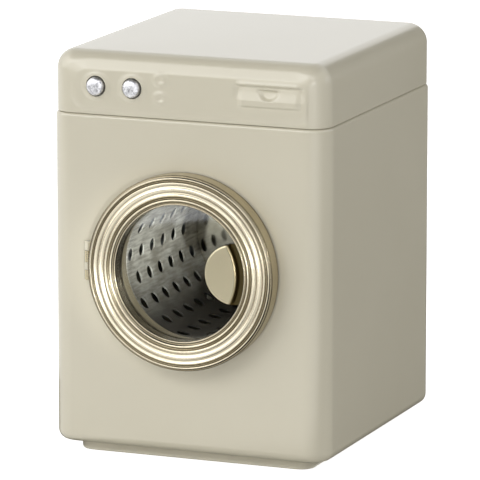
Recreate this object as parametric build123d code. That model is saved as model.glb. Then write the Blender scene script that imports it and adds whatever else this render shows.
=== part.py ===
"""A toy washing machine of painted sheet metal, at doll's-house scale.

Lengths are in mm. X runs to the right, Y from front to back and Z up from the surface that the machine
stands on; the origin is the middle of the cabinet's footprint.
"""

from build123d import *
from math import cos, pi, radians, sin, sqrt, tan
import os

# --- Cabinet -------------------------------------------------------------------------------------
cabinet_width = 90.0
cabinet_depth = 95.0
cabinet_height = 125.0
corner_radius = 7.0           # the four upright corners
sheet = 0.8                   # painted sheet of the cabinet, cover, base and back
bottom_edge = 2.2             # bevel that stands for the rolled bottom edge
shoulder_edge = 0.7           # bevel under the cover's seam

plinth_height = 3.2
plinth_inset = 4.8            # how far the plinth stands in from the sides
plinth_corner_radius = 4.0
pan_flange = 1.5              # rim of the base pan, resting on the cabinet's bottom lip

cover_height = 19.2           # from the seam to the top
cover_inset = 0.4             # the cover is this much smaller than the cabinet on each side
cover_edge_step = 0.6         # the top edge is this much tighter than the cover's upright corners
cover_inner_bevel = 3.0       # bevel inside the cover, along its top edge
neck_height = 3.0             # joggled neck of the cabinet inside the cover
press_clearance = 0.05        # between pieces pushed together by hand

# --- Back panel ----------------------------------------------------------------------------------
back_panel_side_margin = 8.0  # from the cabinet's sides
back_panel_top_margin = 5.8   # below the cover's seam
back_panel_bottom = 10.0
back_panel_corner_radius = 7.0
back_panel_clearance = 0.1
ledge_width = 5.0             # joggled ledge that the panel is screwed to
screw_head_radius = 1.7
screw_head_height = 0.9
screw_radius = 0.8
screw_length = 4.0
screw_clearance = 0.05

# --- Door opening and door -----------------------------------------------------------------------
door_height = 60.2            # centre of the door and the drum above the floor
mouth_radius = 22.3           # bore of the collar drawn into the front
mouth_edge = 0.6              # bevel where the collar leaves the front
collar_depth = 5.7            # from the front face to the collar's rear edge

door_radius = 30.1
door_bore_radius = 20.9
door_gap = 0.3                # between the shut door and the front
door_sheet = 0.8
door_stand_off = 5.8          # from the front face to the grooves between the beads
door_land = 0.8               # flat lip between the bore and the first bead
door_edge = 0.35              # bevel outside the last bead
door_beads = [(1.5, 0.6), (1.7, 0.7), (2.0, 0.8), (1.55, 0.7), (1.3, 0.5)]  # width and height, outwards
bead_sheet = 0.8              # behind the grooves
bore_depth = 3.2              # from the grooves to the rear edge of the bore wall

pane_thickness = 1.0
pane_overlap = 2.5            # how far the pane reaches behind the bore wall
retainer_thickness = 0.8
retainer_clearance = 0.1      # inside the ring's outer wall

grip_radius = 9.35
grip_centre_x = 17.35
grip_centre_rise = 0.8        # above the door's centre
grip_sheet = 0.7
grip_face_drop = 0.1          # face of the grip behind the grooves of the ring
grip_dip_width = 2.1          # step down for a fingertip, between the grip's face and the ring
grip_dip = 1.5

# --- Door hinge ----------------------------------------------------------------------------------
hinge_offset = 31.6           # pin axis to the left of the door's centre
hinge_stand_off = 1.5         # pin axis in front of the front face
knuckle_radius = 1.2
hinge_pin_radius = 0.5
hinge_running_clearance = 0.05
knuckle_gap = 0.1             # endways, between neighbouring knuckles
# Lengths of the four knuckles from the lowest up; the cabinet carries the second and the fourth.
knuckle_lengths = [3.0, 2.3, 3.5, 2.8]
hinge_drop = 5.0              # lowest knuckle's lower end below the door's centre
leaf_thickness = 0.6
door_leaf_length = 5.0        # reach of the door's leaf inside the ring
door_leaf_clearance = 0.6     # between the leaf's shoulder and the knuckles
leaf_slot_clearance = 0.05
cabinet_leaf_length = 4.0
leaf_rivet_radius = 0.6
leaf_rivet_head_radius = 1.0
leaf_rivet_head_height = 0.4
leaf_rivet_spacing = 4.6
leaf_rivet_reach = 3.0        # from the door leaf's shoulder

# --- Door catch ----------------------------------------------------------------------------------
magnet_radius = 2.6
magnet_thickness = 1.6
magnet_offset = 29.0          # to the right of the door's centre
cup_wall = 0.5

# --- Drum ----------------------------------------------------------------------------------------
drum_radius = 22.5            # inside
drum_sheet = 0.5
drum_gap = 0.8                # from the collar to the drum
drum_depth = 54.7             # from the front edge to the polished back plate
drum_back_sheet = 0.6
drum_back_rim = 2.4           # turned rim of the back plate, pushed into the drum
drum_hole_diameter = 4.0
drum_hole_sides = 6
drum_rows = 18
drum_flat_angle = 13.0        # the wall is flat across each row of holes, over this many degrees
drum_first_row_angle = 177.0  # degrees up from +X, seen from the front
drum_hole_pitch = 8.5         # along a row
drum_first_hole = 3.2         # centre of a row's first hole behind the front edge
drum_back_margin = 3.0        # no hole centre comes nearer to the back plate

axle_radius = 2.0
axle_head_radius = 3.6
axle_head_height = 0.6
axle_running_clearance = 0.05
axle_end_play = 0.1
axle_tail = 1.2               # beyond the clip
spacer_radius = 4.2
bush_radius = 3.4
bush_flange_radius = 5.2
bush_flange_thickness = 1.0
bush_length = 4.0             # behind the flange
clip_radius = 3.8
clip_thickness = 0.6

bridge_height = 20.0
bridge_foot = 10.0            # welded foot at each end
bridge_sheet = 0.8
bridge_gap = 0.6              # behind the drum

# --- Control panel -------------------------------------------------------------------------------
panel_field_margin = 6.5      # from the cabinet's sides
panel_field_height = 16.0
panel_field_corner = 4.0
panel_field_raise = 0.35
panel_field_shift = 0.5       # to the right of the middle
panel_centre_drop = 10.0      # below the top
soft_edge = 60.0              # slope of an embossed edge, degrees from straight forward
bevel_slope = 45.0            # slope of a plain bevel

knob_radius = 3.1
knob_gap = 0.3                # dark ring round the knob
knob_crown = 1.3
knob_stand_out = 0.55         # straight side in front of its seat
knob_side = 2.0               # straight side behind its seat
knob_stem_radius = 1.0
knob_seat_radius = 4.5
knob_seat_raise = 0.3
knob_margin = 15.5            # first knob's centre from the cabinet's left side
knob_spacing = 11.8
knob_drop = 10.3              # knob centres below the top
knob_running_clearance = 0.05
knob_washer_radius = 3.0
knob_washer_thickness = 0.6
knob_retainer_radius = 2.2
knob_retainer_thickness = 0.6
knob_stem_tail = 0.5
bracket_height = 7.0
bracket_sheet = 0.8
bracket_margin = 6.6          # from a knob's centre to the bracket's end

indicator_spacing = 9.2       # from the second knob's centre to the indicators
indicator_drops = [7.3, 12.9]
indicator_seat_radius = 2.1
indicator_seat_raise = 0.25
indicator_lens_radius = 1.0
indicator_lens_raise = 0.4

drawer_margin = 18.5          # drawer's centre from the cabinet's right side
drawer_drop = 10.8            # centre of the drawer below the top
drawer_width = 22.3
drawer_height = 7.1
drawer_corner = 1.5
drawer_raise = 0.35
drawer_border = 1.7
drawer_recess = 0.45
scoop_radius = 3.0
scoop_depth = 0.35
scoop_top_margin = 0.7

# Many round outlines are drawn as regular polygons whose flats touch the true circle.
small_sides = 12
middle_sides = 24
large_sides = 40

# --- Places that follow from the sizes above -----------------------------------------------------
front = -cabinet_depth / 2
back = cabinet_depth / 2
seam = cabinet_height - cover_height
inner_front = front + sheet
back_panel_width = cabinet_width - 2 * back_panel_side_margin
back_panel_height = seam - back_panel_top_margin - back_panel_bottom
cover_width = cabinet_width - 2 * cover_inset
cover_depth = cabinet_depth - 2 * cover_inset
cover_corner_radius = corner_radius - cover_inset
cover_edge_radius = cover_corner_radius - cover_edge_step
cover_front = front + cover_inset
panel_field_width = cabinet_width - 2 * panel_field_margin
field_front = cover_front - panel_field_raise
field_back = field_front + sheet
left_knob_x = knob_margin - cabinet_width / 2
knob_positions = {"left_knob": left_knob_x, "right_knob": left_knob_x + knob_spacing}
indicator_x = left_knob_x + knob_spacing + indicator_spacing
drawer_x = cabinet_width / 2 - drawer_margin
bracket_front = (field_front - knob_seat_raise + knob_side + knob_washer_thickness
                 + knob_running_clearance)
knob_retainer_front = bracket_front + bracket_sheet + knob_running_clearance

groove = front - door_stand_off
bore_rear = groove + bore_depth
pane_rear = bore_rear + pane_thickness
retainer_rear = pane_rear + retainer_thickness
door_rear = front - door_gap
hinge_x = -hinge_offset
hinge_y = front - hinge_stand_off
leaf_shoulder = hinge_x + knuckle_radius + door_leaf_clearance

collar_rear = front + collar_depth
drum_front = collar_rear + drum_gap
drum_back_front = drum_front + drum_depth
drum_back_rear = drum_back_front + drum_back_sheet
drum_rear = drum_back_front + drum_back_rim + drum_back_sheet
bridge_front = drum_rear + bridge_gap
bush_front = bridge_front - bush_flange_thickness
bush_rear = bridge_front + bush_length
clip_front = bush_rear + axle_end_play


# --- Small tools ---------------------------------------------------------------------------------
def upright_block(width, depth, radius, bottom, top):
    """A block with rounded upright corners, in the middle of the footprint."""
    outline = Plane.XY.offset(bottom) * RectangleRounded(width, depth, radius)
    return extrude(outline, top - bottom)


def slab(outline, rear, face, slope=0.0):
    """An outline drawn in X and Z, given thickness from its rear forwards to its face."""
    return extrude(Plane.XZ.offset(-rear) * outline, rear - face, taper=slope)


def many_sided(points, sides):
    """A ring about the door's axis from its (radius, Y) outline, with flat sides instead of a turned face."""
    middle = points[0][0]
    reach = middle / cos(pi / sides)
    corners = []
    for side in range(sides):
        angle = (side + 0.5) * 2 * pi / sides
        corners.append((reach * cos(angle), 0, reach * sin(angle)))
    start = (middle, 0, 0)
    path = Wire.make_polygon([start] + corners + [start], close=False)
    outline = make_face(Polyline(*points, close=True))
    return Pos(0, 0, door_height) * sweep(outline, path=path, transition=Transition.RIGHT)


def round_outline(radius, sides=0):
    """A circle, or the regular polygon round it with a flat on its right."""
    if sides:
        return Rot(0, 0, 180 / sides) * RegularPolygon(radius, sides, major_radius=False)
    return Circle(radius)


def disc(radius, front_y, rear_y, x=0.0, z=door_height, sides=0):
    """A round plate or rod that lies front to back."""
    return slab(Pos(x, z) * round_outline(radius, sides), rear_y, front_y)


def ring(inner, outer, front_y, rear_y, x=0.0, z=door_height, sides=0):
    """A round plate or tube with a bore."""
    outline = round_outline(outer, sides) - round_outline(inner, sides)
    return slab(Pos(x, z) * outline, rear_y, front_y)


def chamfered_top(block, radius):
    """The upper edge of a block, cut to three bevels that touch a round-over of this radius."""
    first = radius * (2 - sqrt(2))
    second = radius * (tan(radians(22.5)) - tan(radians(11.25)))
    block = chamfer(block.edges().group_by(Axis.Z)[-1], first)
    levels = block.edges().filter_by(Axis.Z, reverse=True).group_by(Axis.Z)
    return chamfer(levels[-1] + levels[-2], second)


# --- Cabinet pieces ------------------------------------------------------------------------------
def knuckle_spans():
    """Lower and upper end of each hinge knuckle, from the lowest up."""
    spans = []
    start = door_height - hinge_drop
    for length in knuckle_lengths:
        spans.append((start, start + length))
        start += length + knuckle_gap
    return spans


def hinge_arm(span, rear, grow=0.0):
    """Tab of the cabinet's hinge leaf, from a knuckle straight back through the front."""
    low, high = span
    size_x = leaf_thickness + 2 * grow
    size_z = high - low + 2 * grow
    block = Box(size_x, rear - hinge_y, size_z, align=(Align.CENTER, Align.MIN, Align.CENTER))
    return Pos(hinge_x, hinge_y, (low + high) / 2) * block


def back_panel_outline(grow=0.0):
    """Outline of the back panel in X and Z."""
    middle = back_panel_bottom + back_panel_height / 2
    outline = RectangleRounded(back_panel_width + 2 * grow, back_panel_height + 2 * grow,
                               back_panel_corner_radius + grow)
    return Pos(0, middle) * outline


def screw_places():
    """X and Z of the four back screws, on the middle of the ledge."""
    half = back_panel_width / 2 - ledge_width / 2
    low = back_panel_bottom + ledge_width / 2
    high = back_panel_bottom + back_panel_height - ledge_width / 2
    return [(x, z) for x in (-half, half) for z in (low, high)]


def pan_outline_block(grow, bottom, top):
    """The plinth's outline as a block, grown outwards."""
    return upright_block(cabinet_width - 2 * plinth_inset + 2 * grow,
                         cabinet_depth - 2 * plinth_inset + 2 * grow,
                         plinth_corner_radius + grow, bottom, top)


def make_cabinet_shell():
    outer = upright_block(cabinet_width, cabinet_depth, corner_radius, plinth_height, seam)
    outer = chamfer(outer.edges().group_by(Axis.Z)[0], bottom_edge)
    outer = chamfer(outer.edges().group_by(Axis.Z)[-1], shoulder_edge)
    cavity = upright_block(cabinet_width - 2 * sheet, cabinet_depth - 2 * sheet,
                           corner_radius - sheet, plinth_height + sheet, seam - sheet)
    cavity = chamfer(cavity.edges().group_by(Axis.Z)[0], bottom_edge - sheet / 2)
    neck_step = sheet + press_clearance
    neck = upright_block(cover_width - 2 * neck_step, cover_depth - 2 * neck_step,
                         cover_corner_radius - neck_step, seam - sheet, seam + neck_height)
    neck_bore = upright_block(cover_width - 2 * neck_step - 2 * sheet,
                              cover_depth - 2 * neck_step - 2 * sheet,
                              cover_corner_radius - neck_step - sheet,
                              seam - 2 * sheet, seam + neck_height)
    shell = outer + neck - cavity - neck_bore
    shell -= pan_outline_block(press_clearance, 0, plinth_height + 2 * sheet)

    shell += disc(mouth_radius + sheet, front, collar_rear, sides=large_sides)
    shell -= disc(mouth_radius, front, collar_rear, sides=large_sides)
    bevel = Pos(0, door_height) * round_outline(mouth_radius, large_sides)
    shell -= slab(bevel, front + mouth_edge, front, -bevel_slope)

    ledge = back_panel_outline(sheet) - back_panel_outline(-ledge_width)
    shell += slab(ledge, back - sheet, back - 2 * sheet)
    shell -= slab(back_panel_outline(-ledge_width), back, back - 2 * sheet)
    shell -= slab(back_panel_outline(back_panel_clearance), back, back - sheet)
    for x, z in screw_places():
        shell -= disc(screw_radius + screw_clearance, back - 2 * sheet, back, x, z, small_sides)

    spans = knuckle_spans()
    for span in (spans[1], spans[3]):
        shell -= hinge_arm(span, inner_front, leaf_slot_clearance)
    return shell


def make_base_pan():
    rim_top = plinth_height + 2 * sheet
    wall = pan_outline_block(0, 0, rim_top)
    rim = pan_outline_block(pan_flange, plinth_height + sheet, rim_top)
    return wall + rim - pan_outline_block(-sheet, sheet, rim_top)


def make_back_panel():
    panel = slab(back_panel_outline(), back, back - sheet)
    for x, z in screw_places():
        panel -= disc(screw_radius + screw_clearance, back - sheet, back, x, z, small_sides)
    return panel


def make_back_screws():
    screws = []
    for x, z in screw_places():
        shank = disc(screw_radius, back - screw_length, back, x, z, small_sides)
        screws.append(shank + disc(screw_head_radius, back, back + screw_head_height, x, z, small_sides))
    return Compound(children=screws)


def make_drum_bridge():
    foot_x = cabinet_width / 2 - sheet
    strap = Box(2 * foot_x, bridge_sheet, bridge_height, align=(Align.CENTER, Align.MIN, Align.CENTER))
    bridge = Pos(0, bridge_front, door_height) * strap
    for side in (-1, 1):
        foot = Box(bridge_sheet, bridge_foot, bridge_height, align=(Align.CENTER, Align.MIN, Align.CENTER))
        bridge += Pos(side * (foot_x - bridge_sheet / 2), bridge_front, door_height) * foot
    return bridge - disc(bush_radius + press_clearance, bridge_front, bridge_front + bridge_sheet,
                         sides=small_sides)


def make_drum_bush():
    bore = axle_radius + axle_running_clearance
    flange = ring(bore, bush_flange_radius, bush_front, bridge_front, sides=small_sides)
    return flange + ring(bore, bush_radius, bridge_front, bush_rear, sides=small_sides)


def make_hinge_leaf_cabinet():
    spans = knuckle_spans()
    low, high = spans[1][0], spans[3][1]
    plate = Box(cabinet_leaf_length, leaf_thickness, high - low, align=(Align.MIN, Align.MIN, Align.MIN))
    leaf = Pos(hinge_x - cabinet_leaf_length / 2, inner_front, low) * plate
    for span in (spans[1], spans[3]):
        leaf += hinge_arm(span, inner_front)
        leaf += knuckle(span)
    for span in (spans[1], spans[3]):
        leaf -= pin_bore(span, press_clearance)
    return leaf


def knuckle(span):
    """Outside of one hinge knuckle."""
    low, high = span
    outline = Rot(0, 0, 180 / small_sides) * RegularPolygon(knuckle_radius, small_sides)
    return Pos(hinge_x, hinge_y, low) * extrude(outline, high - low)


def pin_bore(span, clearance):
    """Hole for the pin through one hinge knuckle."""
    low, high = span
    outline = round_outline(hinge_pin_radius + clearance, small_sides)
    return Pos(hinge_x, hinge_y, low) * extrude(outline, high - low)


def make_hinge_pin():
    spans = knuckle_spans()
    low, high = spans[0][0] - knuckle_gap, spans[-1][1] + knuckle_gap
    return Pos(hinge_x, hinge_y, low) * extrude(Circle(hinge_pin_radius), high - low)


def make_magnet_cup():
    bore = magnet_radius + press_clearance
    rear = inner_front + magnet_thickness
    wall = ring(bore, bore + cup_wall, inner_front, rear, magnet_offset, sides=small_sides)
    return wall + disc(bore + cup_wall, rear, rear + cup_wall, magnet_offset, sides=small_sides)


def make_catch_magnet():
    return disc(magnet_radius, inner_front, inner_front + magnet_thickness, magnet_offset, sides=small_sides)


# --- Top cover with its embossed panel -----------------------------------------------------------
def half_disc(radius):
    """Half a disc with its straight side up."""
    return Circle(radius) & Pos(0, -radius / 2) * Rectangle(2 * radius, radius)


def make_top_cover():
    cover = upright_block(cover_width, cover_depth, cover_corner_radius, seam, cabinet_height)
    cover = chamfered_top(cover, cover_edge_radius)
    cavity = upright_block(cover_width - 2 * sheet, cover_depth - 2 * sheet,
                           cover_corner_radius - sheet, seam, cabinet_height - sheet)
    cavity = chamfer(cavity.edges().group_by(Axis.Z)[-1], cover_inner_bevel)
    field = Pos(panel_field_shift, cabinet_height - panel_centre_drop) * RectangleRounded(
        panel_field_width, panel_field_height, panel_field_corner)
    cover += slab(field, cover_front + sheet / 2, cover_front)
    cover += slab(field, cover_front, field_front, soft_edge)
    cover -= cavity
    hollow = offset(field, -2 * sheet)
    cover -= slab(hollow, cover_front + sheet, field_back)

    for x in knob_positions.values():
        seat = Pos(x, cabinet_height - knob_drop) * round_outline(knob_seat_radius, middle_sides)
        cover += slab(seat, field_front, field_front - knob_seat_raise, soft_edge)
    for drop in indicator_drops:
        place = Pos(indicator_x, cabinet_height - drop)
        seat_face = field_front - indicator_seat_raise
        seat = place * round_outline(indicator_seat_radius, small_sides)
        cover += slab(seat, field_front, seat_face, soft_edge)
        lens = place * round_outline(indicator_lens_radius, small_sides)
        cover += slab(lens, seat_face, seat_face - indicator_lens_raise, bevel_slope)
    for x in knob_positions.values():
        cover -= disc(knob_radius + knob_gap, field_front - knob_seat_raise, field_back,
                      x, cabinet_height - knob_drop, middle_sides)

    place = Pos(drawer_x, cabinet_height - drawer_drop)
    drawer_face = field_front - drawer_raise
    frame = place * RectangleRounded(drawer_width, drawer_height, drawer_corner)
    cover += slab(frame, field_front, drawer_face, soft_edge)
    plate_height = drawer_height - 2 * drawer_border
    plate = place * Rectangle(drawer_width - 2 * drawer_border, plate_height)
    recess_face = drawer_face + drawer_recess
    cover -= slab(plate, recess_face, drawer_face)
    scoop = place * Pos(0, plate_height / 2 - scoop_top_margin) * half_disc(scoop_radius)
    cover -= slab(scoop, recess_face + scoop_depth, recess_face)
    return cover


# --- Knobs ---------------------------------------------------------------------------------------
def make_knob(x):
    z = cabinet_height - knob_drop
    seat = field_front - knob_seat_raise
    side_front = seat - knob_stand_out
    shoulder = seat + knob_side
    stem_rear = knob_retainer_front + knob_retainer_thickness + knob_stem_tail
    knob = disc(knob_radius, side_front - knob_crown, shoulder, x, z, middle_sides)
    for bevel in (knob_crown, knob_crown / 2):
        knob = chamfer(knob.edges().group_by(Axis.Y)[0], bevel)
    return knob + disc(knob_stem_radius, shoulder, stem_rear, x, z)


def make_knob_washer(x):
    shoulder = field_front - knob_seat_raise + knob_side
    return ring(knob_stem_radius + knob_running_clearance, knob_washer_radius, shoulder,
                shoulder + knob_washer_thickness, x, cabinet_height - knob_drop, small_sides)


def make_knob_retainer(x):
    return ring(knob_stem_radius, knob_retainer_radius, knob_retainer_front,
                knob_retainer_front + knob_retainer_thickness, x, cabinet_height - knob_drop, small_sides)


def make_knob_bracket():
    z = cabinet_height - knob_drop
    places = list(knob_positions.values())
    low_x, high_x = min(places) - bracket_margin, max(places) + bracket_margin
    plate_front = bracket_front
    block = Box(high_x - low_x, plate_front + bracket_sheet - field_back, bracket_height,
                align=(Align.MIN, Align.MIN, Align.CENTER))
    inside = Box(high_x - low_x - 2 * bracket_sheet, plate_front - field_back, bracket_height,
                 align=(Align.MIN, Align.MIN, Align.CENTER))
    bracket = Pos(low_x, field_back, z) * block - Pos(low_x + bracket_sheet, field_back, z) * inside
    for x in places:
        bracket -= disc(knob_stem_radius + knob_running_clearance, plate_front,
                        plate_front + bracket_sheet, x, z, small_sides)
    return bracket


# --- Door pieces ---------------------------------------------------------------------------------
def door_leaf_plate(start, clearance):
    """Plate of the door's hinge leaf from an X to its end inside the ring, grown by a clearance."""
    spans = knuckle_spans()
    low, high = spans[0][0], spans[2][1]
    end = leaf_shoulder + door_leaf_length
    block = Box(end + clearance - start, leaf_thickness + clearance, high - low + 2 * clearance,
                align=(Align.MIN, Align.MAX, Align.CENTER))
    return Pos(start, pane_rear, (low + high) / 2) * block


def make_door_ring():
    radius = door_bore_radius + door_land
    points = [(door_bore_radius, bore_rear), (door_bore_radius, groove), (radius, groove)]
    for width, height in door_beads:
        points += [(radius + width / 2, groove - height), (radius + width, groove)]
        radius += width
    points += [(door_radius, groove + door_edge), (door_radius, door_rear)]
    outer_inside = door_radius - door_sheet
    bore_outside = door_bore_radius + door_sheet
    bead_rear = groove + bead_sheet
    points += [(outer_inside, door_rear), (outer_inside, bead_rear)]
    points += [(bore_outside, bead_rear), (bore_outside, bore_rear)]
    return many_sided(points, large_sides) - door_leaf_plate(hinge_x, leaf_slot_clearance)


def make_grip_pocket():
    round_part = Pos(grip_centre_x, door_height + grip_centre_rise) * round_outline(grip_radius, large_sides)
    outline = round_part & Pos(0, door_height) * round_outline(door_bore_radius, large_sides)
    face = round_part & Pos(0, door_height) * round_outline(door_bore_radius - grip_dip_width, large_sides)
    face_front = groove + grip_face_drop
    dip_front = face_front + grip_dip
    grip = slab(face, bore_rear, face_front) + slab(outline, bore_rear, dip_front)
    grip -= slab(offset(face, -grip_sheet), bore_rear, face_front + grip_sheet)
    return grip - slab(offset(outline, -grip_sheet), bore_rear, dip_front + grip_sheet)


def make_window_pane():
    return disc(door_bore_radius + pane_overlap, bore_rear, pane_rear, sides=large_sides)


def leaf_rivet_places():
    """X and Z of the two rivets through the door's leaf and the retainer."""
    spans = knuckle_spans()
    middle = (spans[0][0] + spans[2][1]) / 2
    x = leaf_shoulder + leaf_rivet_reach
    return [(x, middle - leaf_rivet_spacing / 2), (x, middle + leaf_rivet_spacing / 2)]


def make_window_retainer():
    outside = door_radius - door_sheet - retainer_clearance
    retainer = disc(outside, pane_rear, retainer_rear, sides=large_sides)
    retainer -= disc(door_bore_radius, pane_rear, retainer_rear, sides=middle_sides)
    for x, z in leaf_rivet_places():
        retainer -= disc(leaf_rivet_radius, pane_rear, retainer_rear, x, z, small_sides)
    return retainer


def make_hinge_leaf_door():
    leaf = door_leaf_plate(leaf_shoulder, 0)
    for span in (knuckle_spans()[0], knuckle_spans()[2]):
        low, high = span
        arm = Box(knuckle_radius + door_leaf_clearance, leaf_thickness, high - low,
                  align=(Align.MIN, Align.MAX, Align.MIN))
        leaf += Pos(hinge_x, pane_rear, low) * arm
        leaf += knuckle(span)
    for span in (knuckle_spans()[0], knuckle_spans()[2]):
        leaf -= pin_bore(span, hinge_running_clearance)
    for x, z in leaf_rivet_places():
        leaf -= disc(leaf_rivet_radius, pane_rear - leaf_thickness, pane_rear, x, z, small_sides)
    return leaf


def make_leaf_rivets():
    rivets = []
    leaf_front = pane_rear - leaf_thickness
    for x, z in leaf_rivet_places():
        rivet = disc(leaf_rivet_radius, leaf_front, retainer_rear, x, z, small_sides)
        for head_front in (leaf_front - leaf_rivet_head_height, retainer_rear):
            rivet += disc(leaf_rivet_head_radius, head_front, head_front + leaf_rivet_head_height,
                          x, z, small_sides)
        rivets.append(rivet)
    return Compound(children=rivets)


# --- Drum pieces ---------------------------------------------------------------------------------
def drum_outline(radius):
    """Section of the drum: a flat across each row of holes, with a narrow flat between rows."""
    half = drum_flat_angle / 2
    reach = radius / cos(radians(half))
    corners = []
    for row in range(drum_rows):
        angle = drum_first_row_angle + row * 360 / drum_rows
        for corner in (angle - half, angle + half):
            corners.append((reach * cos(radians(corner)), reach * sin(radians(corner))))
    return Pos(0, door_height) * make_face(Polyline(*corners, close=True))


def make_drum_wall():
    outline = drum_outline(drum_radius + drum_sheet) - drum_outline(drum_radius)
    wall = slab(outline, drum_rear, drum_front)
    punch = extrude(RegularPolygon(drum_hole_diameter / 2, drum_hole_sides), drum_radius)
    last = drum_back_front - drum_back_margin
    punches = []
    for row in range(drum_rows):
        angle = drum_first_row_angle + row * 360 / drum_rows
        y = drum_front + drum_first_hole + (row % 2) * drum_hole_pitch / 2
        while y <= last:
            aim = Pos(0, y, door_height) * Rot(0, -angle, 0) * Pos(drum_radius / 2, 0, 0) * Rot(0, 90, 0)
            punches.append(aim * punch)
            y += drum_hole_pitch
    return wall - punches


def make_drum_back():
    outer = drum_radius - press_clearance
    cap = slab(drum_outline(outer), drum_rear, drum_back_front)
    cap -= slab(drum_outline(outer - drum_back_sheet), drum_rear, drum_back_rear)
    return cap - disc(axle_radius + press_clearance, drum_back_front, drum_back_rear, sides=small_sides)


def make_drum_axle():
    shank = disc(axle_radius, drum_back_front, clip_front + clip_thickness + axle_tail)
    return shank + disc(axle_head_radius, drum_back_front - axle_head_height, drum_back_front,
                        sides=middle_sides)


def make_axle_spacer():
    return ring(axle_radius + press_clearance, spacer_radius, drum_back_rear, bush_front - axle_end_play,
                sides=small_sides)


def make_axle_clip():
    return ring(axle_radius, clip_radius, clip_front, clip_front + clip_thickness, sides=small_sides)


# --- All the pieces ------------------------------------------------------------------------------
nodes = {
    "cabinet_shell": make_cabinet_shell(),
    "top_cover": make_top_cover(),
    "base_pan": make_base_pan(),
    "back_panel": make_back_panel(),
    "back_screws": make_back_screws(),
    "drum_bridge": make_drum_bridge(),
    "drum_bush": make_drum_bush(),
    "knob_bracket": make_knob_bracket(),
    "magnet_cup": make_magnet_cup(),
    "catch_magnet": make_catch_magnet(),
    "hinge_leaf_cabinet": make_hinge_leaf_cabinet(),
    "hinge_pin": make_hinge_pin(),
    "door_ring": make_door_ring(),
    "grip_pocket": make_grip_pocket(),
    "window_pane": make_window_pane(),
    "window_retainer": make_window_retainer(),
    "hinge_leaf_door": make_hinge_leaf_door(),
    "leaf_rivets": make_leaf_rivets(),
    "drum_wall": make_drum_wall(),
    "drum_back": make_drum_back(),
    "drum_axle": make_drum_axle(),
    "axle_spacer": make_axle_spacer(),
    "axle_clip": make_axle_clip(),
}
for knob_name, knob_x in knob_positions.items():
    nodes[knob_name] = make_knob(knob_x)
    nodes[knob_name + "_washer"] = make_knob_washer(knob_x)
    nodes[knob_name + "_retainer"] = make_knob_retainer(knob_x)

os.makedirs("parts", exist_ok=True)
for name, piece in nodes.items():
    piece.label = name
    export_step(piece, "parts/" + name + ".step")
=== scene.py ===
"""The looks of a toy washing machine of enamelled sheet metal, dressed round its CAD frame.

Blender's unit is the metre. Sizes below are in millimetres and are turned into metres by MM. X runs to the
right, -Y towards the front with the door, and Z up from the floor, as in the frame.
"""

from math import cos, hypot, pi, radians, sin, sqrt

import bpy
from mathutils import Matrix, Vector


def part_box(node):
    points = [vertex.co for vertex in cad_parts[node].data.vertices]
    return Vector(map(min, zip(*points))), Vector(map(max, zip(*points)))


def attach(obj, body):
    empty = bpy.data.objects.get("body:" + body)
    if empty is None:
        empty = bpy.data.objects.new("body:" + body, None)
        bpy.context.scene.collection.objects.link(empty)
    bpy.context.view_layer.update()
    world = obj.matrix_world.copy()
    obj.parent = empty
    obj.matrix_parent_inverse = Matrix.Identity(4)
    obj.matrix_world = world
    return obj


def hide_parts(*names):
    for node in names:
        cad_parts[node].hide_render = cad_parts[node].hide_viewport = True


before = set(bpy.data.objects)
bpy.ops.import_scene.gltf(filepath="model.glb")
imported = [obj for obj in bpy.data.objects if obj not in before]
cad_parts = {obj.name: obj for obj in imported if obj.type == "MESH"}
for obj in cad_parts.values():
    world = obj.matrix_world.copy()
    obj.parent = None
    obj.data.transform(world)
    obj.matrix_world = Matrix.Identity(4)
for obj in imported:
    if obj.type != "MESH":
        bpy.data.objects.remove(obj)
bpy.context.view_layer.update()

MM = 0.001

# --- Places read from the frame ------------------------------------------------------------------
shell_low, shell_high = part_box("cabinet_shell")
cover_low, cover_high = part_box("top_cover")
ring_low, ring_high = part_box("door_ring")
drum_low, drum_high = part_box("drum_wall")
end_low, end_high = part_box("drum_back")
retainer_low, retainer_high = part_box("window_retainer")
panel_low, panel_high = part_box("back_panel")
screws_low, screws_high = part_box("back_screws")

front = shell_low.y / MM
back = shell_high.y / MM
door_height = (ring_low.z + ring_high.z) / 2 / MM
seam = cover_low.z / MM
top = cover_high.z / MM

# --- Sizes of the visible forms, in millimetres --------------------------------------------------
sheet = 0.8
cabinet_corner = 7.0
bottom_round = 3.0
shoulder_round = 1.0
panel_corner = 7.0
plinth_half = 38.4
plinth_rim = 1.5
cover_corner = 6.6
cover_round = 6.0
cover_front = -cover_high.y / MM
cover_foot = seam + 0.25

mouth_radius = 22.3
mouth_round = 0.9
collar_rear = front + 5.7

door_radius = 30.1
door_bore = 20.9
groove_y = front - 5.8
bore_rear = groove_y + 3.2
door_rear = ring_high.y / MM
# Crests and troughs of the pressed ring, from the bore outwards: radius, and height over its deepest troughs.
ring_waves = [(21.25, 0.3), (21.7, 0.0), (22.5, 0.65), (23.2, 0.0), (24.05, 0.75), (24.9, 0.3), (25.9, 0.8),
              (26.9, 0.3), (27.7, 0.7), (28.45, 0.0), (29.1, 0.55), (29.7, 0.05)]

grip_x = 17.35
grip_z = door_height + 0.8
grip_radius = 9.35

drum_radius = 22.5
drum_sheet = 0.5
hole_radius = 2.0
hole_pitch = 8.5
hole_rows = 18
first_row_angle = 177.0
first_hole = 3.2

knob_radius = 2.8
knob_hole = 3.2
knob_z = top - 10.3


# --- Modelling by hand ---------------------------------------------------------------------------
def select_only(piece):
    """Makes one object the selected and active one."""
    bpy.ops.object.select_all(action="DESELECT")
    piece.select_set(True)
    bpy.context.view_layer.objects.active = piece


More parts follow.
